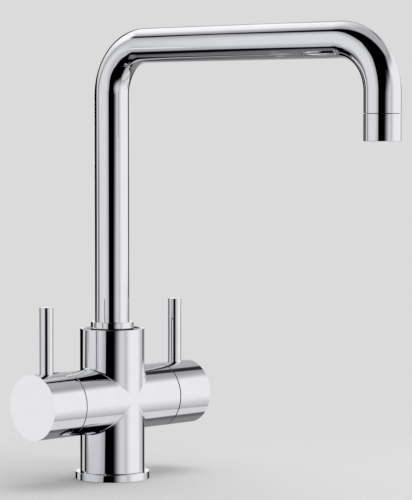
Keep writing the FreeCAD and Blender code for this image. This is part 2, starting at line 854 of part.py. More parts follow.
def mixer_discs():
    """A fixed disc with three ports, and a moving disc with a recess that joins them."""
    fixed = disc("mixer_fixed_blank", 1, MIXER_FIXED, "MixerDiscThick", "MixerDiscRad")
    ports = port_rods("disc_port", "PortRad", MIXER_FIXED, "MixerDiscThick")
    piece("mixer_fixed_disc", bored("mixer_fixed_disc", fixed, ports))
    moving = disc("mixer_moving_blank", 1, MIXER_MOVING, "MixerDiscThick", "MixerDiscRad")
    middle = rod("recess_middle", "PortRad", "RecessDeep", (MIXER_MOVING, "0", "ArmHeight"), "+X")
    reach = rod("recess_reach", "PortRad", "RecessDeep",
                (MIXER_MOVING, "0", "ArmHeight + PortRing"), "+X")
    link = block("recess_link", "RecessDeep", "2 * PortRad", "PortRing",
                 (f"{MIXER_MOVING} + RecessDeep / 2", "0", "ArmHeight"))
    piece("mixer_moving_disc", bored("mixer_moving_disc", moving, [middle, reach, link]))


def mixer_valve_housing():
    inner = "MixerDiscRad + RunClear"
    piece("mixer_valve_housing", turned("mixer_valve_housing", "X", [
        ("MixerBaseTop", inner),
        ("MixerBaseTop", "MixerRad"),
        ("ArmMouth", "MixerRad"),
        ("ArmMouth", "MixerNeckRad"),
        ("MixerNeckEnd", "MixerNeckRad"),
        ("MixerNeckEnd", "SpindleRad + RunClear"),
        (f"{MIXER_FOOT} + MixerFootThick + RunClear", "SpindleRad + RunClear"),
        (f"{MIXER_FOOT} + MixerFootThick + RunClear", inner),
    ], ARM_AXIS))


def mixer_ring_nut():
    """The threaded ring in the arm's mouth that presses the mixing valve on its seat."""
    blank = turned("ring_nut_blank", "X", [
        ("ArmMouth", "MixerNeckRad + RunClear"),
        ("ArmMouth", "ArmMouthRad"),
        ("NutEnd", "ArmMouthRad"),
        ("NutEnd", "MixerNeckRad + RunClear"),
    ], ARM_AXIS)
    x = "NutEnd - NutSlotDeep / 2"
    across = block("nut_slot_across", "NutSlotDeep", "2 * ArmMouthRad", "NutSlotWide",
                   (x, "0", "ArmHeight - NutSlotWide / 2"))
    upright = block("nut_slot_upright", "NutSlotDeep", "NutSlotWide", "2 * ArmMouthRad",
                    (x, "0", "ArmHeight - ArmMouthRad"))
    piece("mixer_ring_nut", bored("mixer_ring_nut", blank, [across, upright]))


def handles():
    """The two handles are alike outside, and each drives its own valve."""
    for name, side, foot_start, foot_thick, foot_rad in (
        ("filter", -1, FILTER_FOOT, "FilterFootThick", "FilterDiscRad"),
        ("mixer", 1, MIXER_FOOT, "MixerFootThick", "MixerFootRad"),
    ):
        glide_ring(name + "_glide_ring", side)
        handle_cap(name + "_handle_cap", side)
        lever(name + "_lever", side)
        grub_screw(name + "_grub_screw", side)
        spindle(name + "_spindle", side, foot_start, foot_thick, foot_rad)
        spindle_o_ring(name + "_spindle_o_ring", side)


def build_all():
    base_ring()
    base_seal()
    tap_body()
    spout_collar()
    spout_foot()
    foot_o_rings()
    washer("lower_slip_ring", "NoseRad + RunClear", "BossRad", "BossTop",
           "FootBottom - DiscGap")
    washer("upper_slip_ring", "TubeRad", "SocketRad - RunClear", "FootTop",
           "NeckBottom - DiscGap")
    spout_tubes()
    nozzle_insert()
    nozzle_sleeve()
    aerator_screen()
    aerator_housing()
    washer("aerator_washer", "WasherBore", "AeratorRad", "AeratorTop", "WasherTop", OUTLET_AXIS)
    filter_outlet_tip()
    handles()
    filter_seat_seal()
    filter_discs()
    filter_valve_housing()
    mixer_port_seals()
    mixer_valve_base()
    mixer_discs()
    mixer_valve_housing()
    mixer_ring_nut()


def check_all():
    """Stop if an object failed or a piece isn't one valid shape."""
    for obj in doc.Objects:
        if "Invalid" in obj.State or "Error" in obj.State:
            raise RuntimeError(f"{obj.Label} failed: {obj.State}")
    for node, obj in pieces.items():
        shape = obj.Shape
        if shape.isNull() or not shape.isValid() or not shape.Solids:
            raise RuntimeError(f"{node} has no valid solid")


def export_all():
    os.makedirs("parts", exist_ok=True)
    for node, obj in pieces.items():
        obj.Shape.exportStep(f"parts/{node}.step")
        print(f"{node}: {len(obj.Shape.Solids)} solid, {obj.Shape.Volume:.1f} mm3")


build_all()
doc.recompute()
check_all()
export_all()
print(f"{len(pieces)} pieces")
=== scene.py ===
# %% [markdown]
# # A three way kitchen tap in mirror chrome
#
# The tap's construction comes ready as a frame of plain solids, each in its real place. This
# lesson puts the visible pieces over it as clean, smooth meshes and gives every piece its finish.
# Everything is in metres, +Z is up, the spout reaches towards -Y, and the origin is on the
# trunk's axis at the deck.

# %% Load the frame
import json
import math

import bmesh
import bpy
from mathutils import Matrix, Vector


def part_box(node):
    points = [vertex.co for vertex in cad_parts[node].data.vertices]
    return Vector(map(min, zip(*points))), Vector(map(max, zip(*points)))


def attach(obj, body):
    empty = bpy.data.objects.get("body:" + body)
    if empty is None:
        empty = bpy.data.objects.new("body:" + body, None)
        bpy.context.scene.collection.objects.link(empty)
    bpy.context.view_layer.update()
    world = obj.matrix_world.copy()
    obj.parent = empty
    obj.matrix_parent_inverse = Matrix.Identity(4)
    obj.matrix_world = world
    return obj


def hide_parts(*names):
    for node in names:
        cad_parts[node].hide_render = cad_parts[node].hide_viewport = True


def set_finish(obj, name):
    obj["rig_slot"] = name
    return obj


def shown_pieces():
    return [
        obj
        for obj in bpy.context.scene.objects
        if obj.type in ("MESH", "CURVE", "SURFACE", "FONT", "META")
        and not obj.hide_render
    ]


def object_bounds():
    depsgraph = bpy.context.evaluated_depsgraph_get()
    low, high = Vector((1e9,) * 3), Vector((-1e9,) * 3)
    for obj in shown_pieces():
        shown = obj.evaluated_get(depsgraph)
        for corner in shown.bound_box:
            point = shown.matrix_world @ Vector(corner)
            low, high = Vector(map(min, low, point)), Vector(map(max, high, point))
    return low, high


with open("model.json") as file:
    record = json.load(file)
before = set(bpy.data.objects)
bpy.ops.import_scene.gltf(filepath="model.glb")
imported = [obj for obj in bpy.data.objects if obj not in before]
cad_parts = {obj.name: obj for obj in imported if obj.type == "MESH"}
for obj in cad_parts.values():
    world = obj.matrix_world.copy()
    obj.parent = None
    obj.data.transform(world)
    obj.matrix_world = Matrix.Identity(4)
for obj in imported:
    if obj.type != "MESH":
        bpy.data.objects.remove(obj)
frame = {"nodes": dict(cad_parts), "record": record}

frame_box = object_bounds()

# %% [markdown]
# ## Sizes
#
# A new piece has to lie where the frame's piece lies, so its sizes are read from the frame: the
# box round a turned piece gives its radius and its two ends. Only what a box can't tell, such as
# a wall's thickness or a bend's radius, is written as a number.

# %% Read the sizes
MM = 0.001
X_AXIS, Y_AXIS, Z_AXIS = Vector((1, 0, 0)), Vector((0, 1, 0)), Vector((0, 0, 1))

body_low, body_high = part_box("tap_body")
ring_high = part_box("base_ring")[1]
collar_low, collar_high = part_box("spout_collar")
tube_low, tube_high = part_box("spout_tube")
nozzle_low, nozzle_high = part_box("nozzle_sleeve")
cap_low, cap_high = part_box("mixer_handle_cap")
lever_low, lever_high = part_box("mixer_lever")

BODY_RAD = body_high.y
BODY_FOOT, BODY_TOP = body_low.z, body_high.z
ARM_END = body_high.x
ARM_HEIGHT = (cap_low.z + cap_high.z) / 2
RING_RAD, RING_TOP = ring_high.x, ring_high.z
COLLAR_RAD, COLLAR_FOOT, COLLAR_TOP = collar_high.x, collar_low.z, collar_high.z
TUBE_RAD = tube_high.x
TUBE_FOOT = tube_low.z
ARM_LINE = tube_high.z - TUBE_RAD
REACH = -tube_low.y - TUBE_RAD
NOZZLE_END, NOZZLE_TOP = nozzle_low.z, nozzle_high.z
CAP_START, CAP_END = cap_low.x, cap_high.x
LEVER_X = (lever_low.x + lever_high.x) / 2
LEVER_RAD = lever_high.y
LEVER_TOP = lever_high.z

print(f"trunk {2000 * BODY_RAD:.1f} mm thick, spout {1000 * REACH:.0f} mm long")

# %% [markdown]
# ## Turning a piece on a lathe
#
# Almost every part of this tap is turned, so the first helper is a lathe: it takes the half
# outline, a few corners of (distance along the axis, radius), and spins it once round. A full
# spin with `use_merge` closes on itself. Corners that lie on the axis come out as many points in
# one place, so doubles are merged, and then the normals are made to point outwards.
#
# Chrome shows every facet, so a full turn has 256 steps, and the sharp edges are rounded by up to
# half a millimetre, as polishing rounds them. A helper finds them by the angle between their
# faces and hands them to `bevel`.

# %% The lathe
ROUND = 256
TOUCH = 1e-7
SHARP = math.radians(35)
POLISHED_EDGE, FINE_EDGE, CUT_EDGE = 0.45 * MM, 0.3 * MM, 0.15 * MM


def lathe(corners, axis, centre, closed=True, steps=ROUND):
    """A solid spun from (along, radius) corners about an axis through a point."""
    side = Y_AXIS if axis == X_AXIS else X_AXIS
    bm = bmesh.new()
    points = [bm.verts.new(centre + along * axis + radius * side) for along, radius in corners]
    lines = [bm.edges.new(pair) for pair in zip(points, points[1:])]
    if closed:
        lines.append(bm.edges.new((points[-1], points[0])))
    bmesh.ops.spin(bm, geom=points + lines, cent=centre, axis=axis, angle=math.tau,
                   steps=steps, use_merge=True, use_duplicate=False)
    bmesh.ops.remove_doubles(bm, verts=bm.verts, dist=TOUCH)
    bmesh.ops.recalc_face_normals(bm, faces=bm.faces)
    return bm


def round_edges(bm, width=POLISHED_EDGE, segments=4, chosen=None):
    """Rounds the sharp edges, or only those that a test chooses."""
    edges = [e for e in bm.edges if e.is_manifold and e.calc_face_angle() > SHARP]
    if chosen:
        edges = [e for e in edges if chosen(e)]
    bmesh.ops.bevel(bm, geom=edges, offset=width, offset_type="OFFSET", segments=segments,
                    profile=0.5, affect="EDGES", clamp_overlap=True, material=-1)
    return bm


# %% [markdown]
# ## From a bmesh to a finished piece
#
# A mirror reflects with its shading normals, so they matter more than the number of faces. The
# Weighted Normal modifier lets the large faces keep their true direction and bends the normals
# only inside the narrow rounded strips. It is applied at once, and the piece is then tied to
# the body that it moves with and to the plain solid that it stands for.

# %% Finish a piece
def even_normals(piece):
    """Applies weighted normals, so that only the rounded strips bend the light."""
    weigh = piece.modifiers.new("even_normals", "WEIGHTED_NORMAL")
    weigh.mode = "FACE_AREA"
    weigh.weight = 100
    weigh.keep_sharp = True
    bake_modifiers(piece)


def bake_modifiers(piece):
    """Replaces a piece's mesh by what its modifiers make of it."""
    bpy.context.view_layer.update()
    graph = bpy.context.evaluated_depsgraph_get()
    mesh = bpy.data.meshes.new_from_object(piece.evaluated_get(graph), depsgraph=graph,
                                           preserve_all_data_layers=True)
    piece.modifiers.clear()
    piece.data = mesh
    mesh.name = piece.name


def new_piece(name, bm):
    """A smooth-shaded object made from a bmesh."""
    mesh = bpy.data.meshes.new(name)
    for face in bm.faces:
        face.smooth = True
    bm.to_mesh(mesh)
    bm.free()
    piece = bpy.data.objects.new(name, mesh)
    bpy.context.scene.collection.objects.link(piece)
    return piece


def settle(piece, body, node, slot="chrome"):
    """Ties a finished piece to its body, its plain solid and its finish."""
    even_normals(piece)
    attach(piece, body)
    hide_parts(node)
    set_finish(piece, slot)
    print(f"{piece.name}: {len(piece.data.polygons)} faces, moves with {body}")


# %% [markdown]
# ## Drilling
#
# Holes are drilled with the Boolean modifier's exact solver, before the edges are rounded, so
# that a drilled edge is rounded with the rest. The drill is a cone with equal radii.

# %% The drill
DRILL_ROUND = 96


def upright_rod(radius, start, length):
    """A closed cylinder that rises from a point."""
    bm = bmesh.new()
    middle = Matrix.Translation(start + Z_AXIS * length / 2)
    bmesh.ops.create_cone(bm, cap_ends=True, segments=DRILL_ROUND, radius1=radius,
                          radius2=radius, depth=length, matrix=middle)
    return bm


def drilled(bm, drills):
    """A bmesh less some closed cylinders, as a new bmesh."""
    blank = new_piece("blank", bm)
    cutters = [new_piece(f"drill_{number}", drill) for number, drill in enumerate(drills)]
    for cutter in cutters:
        cut = blank.modifiers.new(cutter.name, "BOOLEAN")
        cut.operation = "DIFFERENCE"
        cut.solver = "EXACT"
        cut.object = cutter
    bake_modifiers(blank)
    result = bmesh.new()
    result.from_mesh(blank.data)
    for spent in [blank] + cutters:
        bpy.data.objects.remove(spent)
    bmesh.ops.remove_doubles(result, verts=result.verts, dist=TOUCH)
    return result


# %% [markdown]
# ## The base ring
#
# The tap stands on a low ring, wider than the trunk. Its bore lets the hoses through, and a
# groove in its underside holds the flat rubber seal. It is one outline on the lathe.

# %% Base ring
TAP_HOLE_RAD = 17.5 * MM
SEAL_INNER, SEAL_OUTER, SEAL_DEEP = 20.5 * MM, 25.0 * MM, 2.0 * MM

base_outline = [
    (0, TAP_HOLE_RAD), (0, SEAL_INNER), (SEAL_DEEP, SEAL_INNER), (SEAL_DEEP, SEAL_OUTER),
    (0, SEAL_OUTER), (0, RING_RAD), (RING_TOP, RING_RAD), (RING_TOP, TAP_HOLE_RAD),
]
base = lathe(base_outline, Z_AXIS, Vector())
round_edges(base, width=FINE_EDGE)
settle(new_piece("polished_base_ring", base), "tap", "base_ring")

# %% [markdown]
# ## The body: two equal cylinders that cross
#
# The trunk and the cross arms are one casting. Where two cylinders of one radius cross, they meet
# on two flat planes, tilted 45 degrees. So the body needs no boolean: each cylinder is cut with
# `bisect_plane` on those two planes, and the four sleeves that are left share every point of
# the seam, because both cylinders are divided alike.

# %% Four sleeves
UNCUT_LENGTH = 0.5


def sleeve(axis, heading, reach):
    """The part of a cylinder that runs from the crossing to one open end."""
    bm = bmesh.new()
    turn = Matrix.Rotation(math.pi / 2, 4, "Y") if axis == X_AXIS else Matrix.Identity(4)
    crossing = Vector((0, 0, ARM_HEIGHT))
    bmesh.ops.create_cone(bm, cap_ends=False, segments=ROUND, radius1=BODY_RAD,
                          radius2=BODY_RAD, depth=UNCUT_LENGTH,
                          matrix=Matrix.Translation(crossing) @ turn)
    other = Z_AXIS if axis == X_AXIS else X_AXIS
    for side in (1, -1):
        everything = bm.verts[:] + bm.edges[:] + bm.faces[:]
        bmesh.ops.bisect_plane(bm, geom=everything, dist=TOUCH, plane_co=crossing,
                               plane_no=heading * axis + side * other, clear_inner=True)
    everything = bm.verts[:] + bm.edges[:] + bm.faces[:]
    end = reach * axis
    if axis == X_AXIS:
        end = end + crossing
    bmesh.ops.bisect_plane(bm, geom=everything, dist=TOUCH, plane_co=end,
                           plane_no=heading * axis, clear_outer=True)
    return bm


def gather(parts):
    """Several bmeshes as one, with their shared points merged."""
    whole = bmesh.new()
    for part in parts:
        mesh = bpy.data.meshes.new("part")
        part.to_mesh(mesh)
        part.free()
        whole.from_mesh(mesh)
        bpy.data.meshes.remove(mesh)
    bmesh.ops.remove_doubles(whole, verts=whole.verts, dist=10 * TOUCH)
    return whole


body = gather([
    sleeve(Z_AXIS, 1, BODY_TOP), sleeve(Z_AXIS, -1, BODY_FOOT),
    sleeve(X_AXIS, 1, ARM_END), sleeve(X_AXIS, -1, -ARM_END),
])
print("the four sleeves have", len([e for e in body.edges if e.is_boundary]), "open edges")

# %% [markdown]
# The open ends are carried inwards as a lathe tool would cut them. An open end is a ring of
# edges, so each step of the bore is one `extrude_edge_only`, a scale across the axis and a move
# along it, and the last ring is filled. The underside is filled flat, and the three threaded
# inlets and the hole for the fixing stud are drilled into it.

# %% Bores of the body
SOCKET_RAD, BOSS_RAD, NOSE_RAD = 14.6 * MM, 9.5 * MM, 7.08 * MM
SOCKET_FLOOR, BOSS_TOP, NOSE_FLOOR = 74 * MM, 79.5 * MM, 66 * MM
ARM_MOUTH_RAD, MIXER_RAD, FILTER_RAD = 19 * MM, 17.6 * MM, 10.45 * MM
ARM_MOUTH, VALVE_SEAT = 36.5 * MM, 17 * MM

spout_socket = [(BODY_TOP, SOCKET_RAD), (SOCKET_FLOOR, SOCKET_RAD), (SOCKET_FLOOR, BOSS_RAD),
                (BOSS_TOP, BOSS_RAD), (BOSS_TOP, NOSE_RAD), (NOSE_FLOOR, NOSE_RAD)]


def valve_chamber(side, valve_rad):
    """The steps of the bore that takes a valve from the end of an arm."""
    steps = [(ARM_END, ARM_MOUTH_RAD), (ARM_MOUTH, ARM_MOUTH_RAD), (ARM_MOUTH, valve_rad),
             (VALVE_SEAT, valve_rad)]
    return [(side * along, radius) for along, radius in steps]


def end_ring(bm, axis, along):
    """The open edges that lie square to an axis at a distance along it."""
    return [e for e in bm.edges if e.is_boundary
            and all(abs(v.co.dot(axis) - along) < 10 * TOUCH for v in e.verts)]


def moving_end(made):
    """The points and edges that an extrude or a spin has just made."""
    points = [g for g in made if isinstance(g, bmesh.types.BMVert)]
    edges = [g for g in made if isinstance(g, bmesh.types.BMEdge)]
    return points, edges


def step_inwards(bm, axis, centre, steps):
    """Carries an open end through (along, radius) steps and closes it."""
    here, radius = steps[0][0], BODY_RAD
    ring = end_ring(bm, axis, here)
    across = Vector((1, 1, 1)) - axis
    for along, new_radius in steps:
        points, ring = moving_end(bmesh.ops.extrude_edge_only(bm, edges=ring)["geom"])
        bmesh.ops.scale(bm, vec=axis + across * (new_radius / radius), verts=points,
                        space=Matrix.Translation(-centre))
        bmesh.ops.translate(bm, vec=axis * (along - here), verts=points)
        here, radius = along, new_radius
    bmesh.ops.edgeloop_fill(bm, edges=ring)


arm_line = Vector((0, 0, ARM_HEIGHT))
step_inwards(body, Z_AXIS, Vector(), spout_socket)
step_inwards(body, X_AXIS, arm_line, valve_chamber(1, MIXER_RAD))
step_inwards(body, X_AXIS, arm_line, valve_chamber(-1, FILTER_RAD))
bmesh.ops.edgeloop_fill(body, edges=end_ring(body, Z_AXIS, BODY_FOOT))
bmesh.ops.recalc_face_normals(body, faces=body.faces)
print("open edges left:", len([e for e in body.edges if e.is_boundary]))

# %% Inlets and stud hole
THREAD_RAD, THREAD_DEEP = 4.5 * MM, 10 * MM
WAY_RAD, WAY_DEEP = 3.0 * MM, 24 * MM
STUD_RAD, STUD_DEEP = 3.4 * MM, 14 * MM
PORT = 9.0 * MM * math.cos(math.radians(30))
INLETS = [(PORT, PORT), (PORT, -PORT), (-9.5 * MM, 3.2 * MM)]
STUD = (-5.5 * MM, -9.3 * MM)
BELOW = 1.0 * MM


def bore_up(place, radius, depth):
    """A drill that enters the underside of the body."""
    x, y = place
    return upright_rod(radius, Vector((x, y, BODY_FOOT - BELOW)), depth + BELOW)


drills = [bore_up(STUD, STUD_RAD, STUD_DEEP)]
for inlet in INLETS:
    drills += [bore_up(inlet, THREAD_RAD, THREAD_DEEP), bore_up(inlet, WAY_RAD, WAY_DEEP)]
body = drilled(body, drills)
print("the underside has", len(drills) - len(INLETS), "holes")

# %% [markdown]
# ## Soft seams
#
# In a polished casting the seam between trunk and arm isn't a knife edge: it is a small fillet,
# which dies away where the two surfaces run into each other at the front and back. The Bevel
# modifier can do that, because it scales its width by each edge's weight. The weight is taken
# from the angle between the two faces, which falls to nothing at the crossing. The outer rims
# are rounded first, with the bevel operator.

# %% Rims and seams
FILLET = 1.1 * MM
FADE_FROM, FADE_TO = math.radians(3), math.radians(30)
RIM_NEAR, SEAM_NEAR = 0.05 * MM, 0.002 * MM


def on_rim(edge):
    """Whether an edge lies on an outer rim of the body."""
    middle = (edge.verts[0].co + edge.verts[1].co) / 2
    from_trunk = math.hypot(middle.x, middle.y)
    from_arms = math.hypot(middle.y, middle.z - ARM_HEIGHT)
    at_trunk_end = min(abs(middle.z - BODY_TOP), abs(middle.z - BODY_FOOT)) < RIM_NEAR
    at_arm_end = abs(abs(middle.x) - ARM_END) < RIM_NEAR
    return ((at_trunk_end and abs(from_trunk - BODY_RAD) < RIM_NEAR)
            or (at_arm_end and abs(from_arms - BODY_RAD) < RIM_NEAR))


def on_seam(edge):
    """Whether an edge lies on a plane where trunk and arms meet, on the outside."""
    return all(abs(abs(v.co.x) - abs(v.co.z - ARM_HEIGHT)) < SEAM_NEAR
               and abs(math.hypot(v.co.x, v.co.y) - BODY_RAD) < SEAM_NEAR for v in edge.verts)


def faded(angle):
    """0 below the first angle, 1 above the second and smooth between."""
    t = min(1, max(0, (angle - FADE_FROM) / (FADE_TO - FADE_FROM)))
    return t * t * (3 - 2 * t)


round_edges(body, chosen=on_rim)
weights = body.edges.layers.float.new("bevel_weight_edge")
for edge in body.edges:
    if on_seam(edge) and edge.is_manifold:
        edge[weights] = faded(edge.calc_face_angle())
seams = len([e for e in body.edges if e[weights] > 0])

polished_body = new_piece("polished_body", body)
fillet = polished_body.modifiers.new("fillet", "BEVEL")
fillet.limit_method = "WEIGHT"
fillet.offset_type = "OFFSET"
fillet.width = FILLET
fillet.segments = 5
fillet.profile = 0.5
bake_modifiers(polished_body)
settle(polished_body, "tap", "tap_body")
print(seams, "seam edges were given a fillet")

# %% [markdown]
# ## The collar
#
# A ring nut screws into the socket and holds the foot of the spout. Only its flange shows,
# between body and tube.

# %% Collar
RUNNING_CLEARANCE = 0.08 * MM
COLLAR_BORE = TUBE_RAD + RUNNING_CLEARANCE
collar_outline = [
    (COLLAR_FOOT, COLLAR_BORE), (COLLAR_FOOT, SOCKET_RAD), (BODY_TOP, SOCKET_RAD),
    (BODY_TOP, COLLAR_RAD), (COLLAR_TOP, COLLAR_RAD), (COLLAR_TOP, COLLAR_BORE),
]
collar = lathe(collar_outline, Z_AXIS, Vector())
round_edges(collar, width=FINE_EDGE)
settle(new_piece("polished_collar", collar), "tap", "spout_collar")

# %% [markdown]
# ## The spout
#
# The spout is one tube bent twice. A curve with a bevel would be quicker, but its rings bunch up
# at the ends of an arc. So a ring of edges is carried along the line instead: straight runs
# are extruded, and each bend is a quarter of a spin about the bend's centre. The wall is given
# by the same walk with a smaller ring, and `bridge_loops` joins the two at both ends.

# %% Spout tube
BEND_RAD = 36 * MM
TUBE_WALL = 1.5 * MM
TUBE_ROUND = 160
BEND_STEPS = 72
SEAM_GAP = 0.3 * MM
TUBE_END = NOZZLE_TOP + SEAM_GAP
NEAR_BEND = 1.0 * MM


def run_straight(bm, ring, direction, length):
    """Extrudes a ring, with a short step at both ends to keep the normals true."""
    for part in (NEAR_BEND, length - 2 * NEAR_BEND, NEAR_BEND):
        points, ring = moving_end(bmesh.ops.extrude_edge_only(bm, edges=ring)["geom"])
        bmesh.ops.translate(bm, vec=direction * part, verts=points)
    return ring


def run_bend(bm, ring, centre):
    """Takes a ring through a quarter turn that dips towards -Y."""
    made = bmesh.ops.spin(bm, geom=ring, cent=centre, axis=X_AXIS, angle=math.pi / 2,
                          steps=BEND_STEPS, use_merge=False)
    return moving_end(made["geom_last"])[1]


def tube_wall(bm, radius):
    """One wall of the spout, from its foot to its end, and its two end rings."""
    start = bmesh.ops.create_circle(bm, cap_ends=False, radius=radius, segments=TUBE_ROUND,
                                    matrix=Matrix.Translation((0, 0, TUBE_FOOT)))
    first = list({edge for point in start["verts"] for edge in point.link_edges})
    ring = run_straight(bm, first, Z_AXIS, ARM_LINE - BEND_RAD - TUBE_FOOT)
    ring = run_bend(bm, ring, Vector((0, -BEND_RAD, ARM_LINE - BEND_RAD)))
    ring = run_straight(bm, ring, -Y_AXIS, REACH - 2 * BEND_RAD)
    ring = run_bend(bm, ring, Vector((0, BEND_RAD - REACH, ARM_LINE - BEND_RAD)))
    ring = run_straight(bm, ring, -Z_AXIS, ARM_LINE - BEND_RAD - TUBE_END)
    return first, ring


spout = bmesh.new()
outer_foot, outer_end = tube_wall(spout, TUBE_RAD)
inner_foot, inner_end = tube_wall(spout, TUBE_RAD - TUBE_WALL)
bmesh.ops.bridge_loops(spout, edges=outer_foot + inner_foot)
bmesh.ops.bridge_loops(spout, edges=outer_end + inner_end)
bmesh.ops.recalc_face_normals(spout, faces=spout.faces)
round_edges(spout, width=CUT_EDGE, segments=2)
settle(new_piece("polished_spout", spout), "spout", "spout_tube")

# %% [markdown]
# ## The nozzle sleeve
#
# Below the seam, a sleeve screws over the spout's end and holds the aerator. A fine lip turns in
# round its mouth.

# %% Nozzle sleeve
OUTLET = Vector((0, -REACH, 0))
LIP_RAD, LIP_TOP = 9.6 * MM, 254 * MM
AERATOR_RAD, WASHER_TOP = 10.6 * MM, 262 * MM
SLEEVE_BORE = TUBE_RAD - TUBE_WALL
nozzle_outline = [
    (NOZZLE_END, LIP_RAD), (NOZZLE_END, TUBE_RAD), (NOZZLE_TOP, TUBE_RAD),
    (NOZZLE_TOP, SLEEVE_BORE), (WASHER_TOP, SLEEVE_BORE), (WASHER_TOP, AERATOR_RAD),
    (LIP_TOP, AERATOR_RAD), (LIP_TOP, LIP_RAD),
]
nozzle = lathe(nozzle_outline, Z_AXIS, OUTLET)
round_edges(nozzle, width=FINE_EDGE)
settle(new_piece("polished_nozzle", nozzle), "spout", "nozzle_sleeve")

# %% [markdown]
# ## The handles
#
# Each handle is a hollow cap with a hub for the spindle, and a round lever that screws into its
# top. A small hole underneath lets a key reach the grub screw. Both handles are the same drawing:
# the side is +1 or -1 along X.

# %% Caps and levers
CAP_WALL, CAP_FACE = 3.5 * MM, 4.0 * MM
HUB_START, HUB_RAD = 56 * MM, 9 * MM
SPINDLE_RAD, SPINDLE_TIP = 5 * MM, 72 * MM
LEVER_SEAT, STUB_RAD = 18 * MM, 3 * MM
GRUB_WAY_RAD, GRUB_WAY_DEEP = 3 * MM, 8 * MM
LEVER_ROUND = 128
BESIDE = 0.2 * MM


def beside_lever(edge, side):
    """Whether an edge lies round the lever's hole, which stays sharp."""
    middle = (edge.verts[0].co + edge.verts[1].co) / 2
    off_stem = math.hypot(middle.x - side * LEVER_X, middle.y)
    return middle.z > ARM_HEIGHT and off_stem < LEVER_RAD + BESIDE


def handle_cap(side):
    """A cap, drawn along its own side of the X axis."""
    inner = BODY_RAD - CAP_WALL
    outline = [
        (CAP_START, inner), (CAP_START, BODY_RAD), (CAP_END, BODY_RAD), (CAP_END, 0),
        (SPINDLE_TIP, 0), (SPINDLE_TIP, SPINDLE_RAD), (HUB_START, SPINDLE_RAD),
        (HUB_START, HUB_RAD), (CAP_END - CAP_FACE, HUB_RAD), (CAP_END - CAP_FACE, inner),
    ]
    blank = lathe([(side * along, radius) for along, radius in outline], X_AXIS, arm_line)
    stem = Vector((side * LEVER_X, 0, ARM_HEIGHT))
    seat = upright_rod(LEVER_RAD, stem + LEVER_SEAT * Z_AXIS, BODY_RAD)
    key_hole = upright_rod(GRUB_WAY_RAD, stem - (BODY_RAD + BELOW) * Z_AXIS,
                           GRUB_WAY_DEEP + BELOW)
    cap = drilled(blank, [seat, key_hole])
    return round_edges(cap, width=FINE_EDGE, chosen=lambda edge: not beside_lever(edge, side))


def lever(side):
    """A round lever and its threaded stub."""
    stem = Vector((side * LEVER_X, 0, 0))
    seat = ARM_HEIGHT + LEVER_SEAT
    outline = [(lever_low.z, 0), (lever_low.z, STUB_RAD), (seat, STUB_RAD),
               (seat, LEVER_RAD), (LEVER_TOP, LEVER_RAD), (LEVER_TOP, 0)]
    return round_edges(lathe(outline, Z_AXIS, stem, closed=False, steps=LEVER_ROUND))


for name, side in (("filter", -1), ("mixer", 1)):
    cap_piece = new_piece(f"polished_{name}_cap", handle_cap(side))
    settle(cap_piece, f"{name}_handle", f"{name}_handle_cap")
    lever_piece = new_piece(f"polished_{name}_lever", lever(side))
    settle(lever_piece, f"{name}_handle", f"{name}_lever")

# %% [markdown]
# ## Shader maths
#
# A material here is a small sum. Written with nodes alone it is hard to read, so one class wraps
# a socket: adding or multiplying two wires adds the Math node. Any other node comes from
# its `node` method, which sets the node's settings first and then its sockets.

# %% The wire
class Wire:
    """A socket of a shader that takes part in arithmetic."""

    def __init__(self, tree, socket=None):
        self.tree, self.socket = tree, socket

    def node(self, kind, settings=None, inputs=None, output=0):
        """Adds a node with its settings and its inputs, and gives one of its outputs."""
        made = self.tree.nodes.new("ShaderNode" + kind)
        for name, value in (settings or {}).items():
            setattr(made, name, value)
        for name, value in (inputs or {}).items():
            if isinstance(value, Wire):
                self.tree.links.new(value.socket, made.inputs[name])
            else:
                made.inputs[name].default_value = value
        return Wire(self.tree, made.outputs[output])

    def maths(self, operation, *values):
        return self.node("Math", {"operation": operation}, dict(enumerate(values)))

    def __add__(self, other):
        return self.maths("ADD", self, other)

    def __radd__(self, other):
        return self.maths("ADD", other, self)

    def __sub__(self, other):
        return self.maths("SUBTRACT", self, other)

    def __rsub__(self, other):
        return self.maths("SUBTRACT", other, self)

    def __mul__(self, other):
        return self.maths("MULTIPLY", self, other)

    def __rmul__(self, other):
        return self.maths("MULTIPLY", other, self)

    def __truediv__(self, other):
        return self.maths("DIVIDE", self, other)

    def step(self, low, high):
        """0 below the first value, 1 above the second and smooth between."""
        return self.node("MapRange", {"interpolation_type": "SMOOTHSTEP"},
                         {"Value": self, "From Min": low, "From Max": high})

    def between(self, low, high, soft):
        """1 between two values, with soft edges."""
        return self.step(low - soft, low + soft) * (1 - self.step(high - soft, high + soft))

    def mix(self, low, high):
        """This wire as the factor between two colours."""
        return self.node("Mix", {"data_type": "RGBA"},
                         {"Factor": self, 6: low, 7: high}, output=2)


def colour(red, green, blue):
    return (red, green, blue, 1)


# %% [markdown]
# ## A material and its first nodes
#
# Every finish starts alike: a Principled shader whose constant values are set on its own sockets,
# and the Object coordinates, which stay with a piece when it moves. A helper then joins a wire
# to a socket of the shader.

